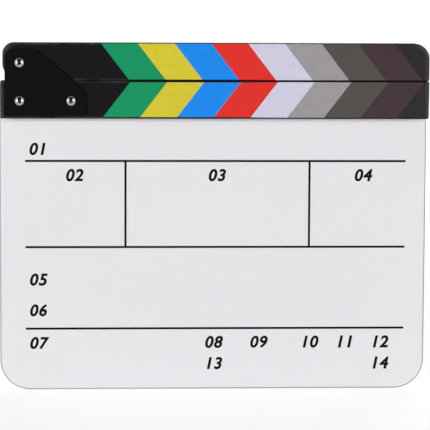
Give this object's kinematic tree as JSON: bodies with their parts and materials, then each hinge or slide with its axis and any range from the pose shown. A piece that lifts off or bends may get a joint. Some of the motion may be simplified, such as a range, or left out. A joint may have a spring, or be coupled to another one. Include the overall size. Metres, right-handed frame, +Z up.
{
  "type": "clapperboard",
  "caption": "Hand-held clapperboard: a ruled white slate with a fixed striped stick along its top and a second striped stick on a plate hinge that swings up and claps shut.",
  "frame": {"origin": "middle of the slate's bottom edge, halfway through its thickness", "axes": "+X to the right seen from the front, +Y towards the back, +Z up towards the sticks"},
  "size_m": [0.3002, 0.0168, 0.2451],
  "materials": {
    "white_acrylic": "gloss",
    "black_ink": "matte",
    "black_painted_wood": "satin",
    "black_coated_steel": "matte",
    "nickel_screw": "polished",
    "zinc_screw": "satin",
    "brass_bush": "turned",
    "black_nylon": "matte",
    "zinc_steel": "satin",
    "green_film": "satin",
    "yellow_film": "satin",
    "blue_film": "satin",
    "red_film": "satin",
    "white_film": "satin",
    "light_grey_film": "satin",
    "dark_grey_film": "satin",
    "brown_film": "satin",
    "charcoal_film": "satin"
  },
  "bodies": {
    "slate": {"slate_board": "white_acrylic", "form_rules": "black_ink", "lower_stick": "black_painted_wood", "hinge_plate": "black_coated_steel", "plate_screws": "nickel_screw", "board_screws": "zinc_screw", "pivot_screw": "nickel_screw", "pivot_front_washer": "black_nylon", "pivot_bush": "brass_bush", "pivot_rear_washer": "zinc_steel", "pivot_nut": "zinc_steel", "lower_stripe_green": "green_film", "lower_stripe_yellow": "yellow_film", "lower_stripe_blue": "blue_film", "lower_stripe_red": "red_film", "lower_stripe_white": "white_film", "lower_stripe_light_grey": "light_grey_film", "lower_stripe_dark_grey": "dark_grey_film", "lower_stripe_brown": "brown_film", "lower_stripe_charcoal": "charcoal_film"},
    "clapper": {"upper_stick": "black_painted_wood", "upper_stripe_green": "green_film", "upper_stripe_yellow": "yellow_film", "upper_stripe_blue": "blue_film", "upper_stripe_red": "red_film", "upper_stripe_white": "white_film", "upper_stripe_light_grey": "light_grey_film", "upper_stripe_dark_grey": "dark_grey_film", "upper_stripe_brown": "brown_film", "upper_stripe_charcoal": "charcoal_film"}
  },
  "joints": [
    {"name": "clap_hinge", "type": "hinge", "parent": "slate", "child": "clapper", "pos_m": [-0.1353, -0.0063, 0.23125], "axis": [0, -1, 0], "range_deg": [0, 90]}
  ]
}
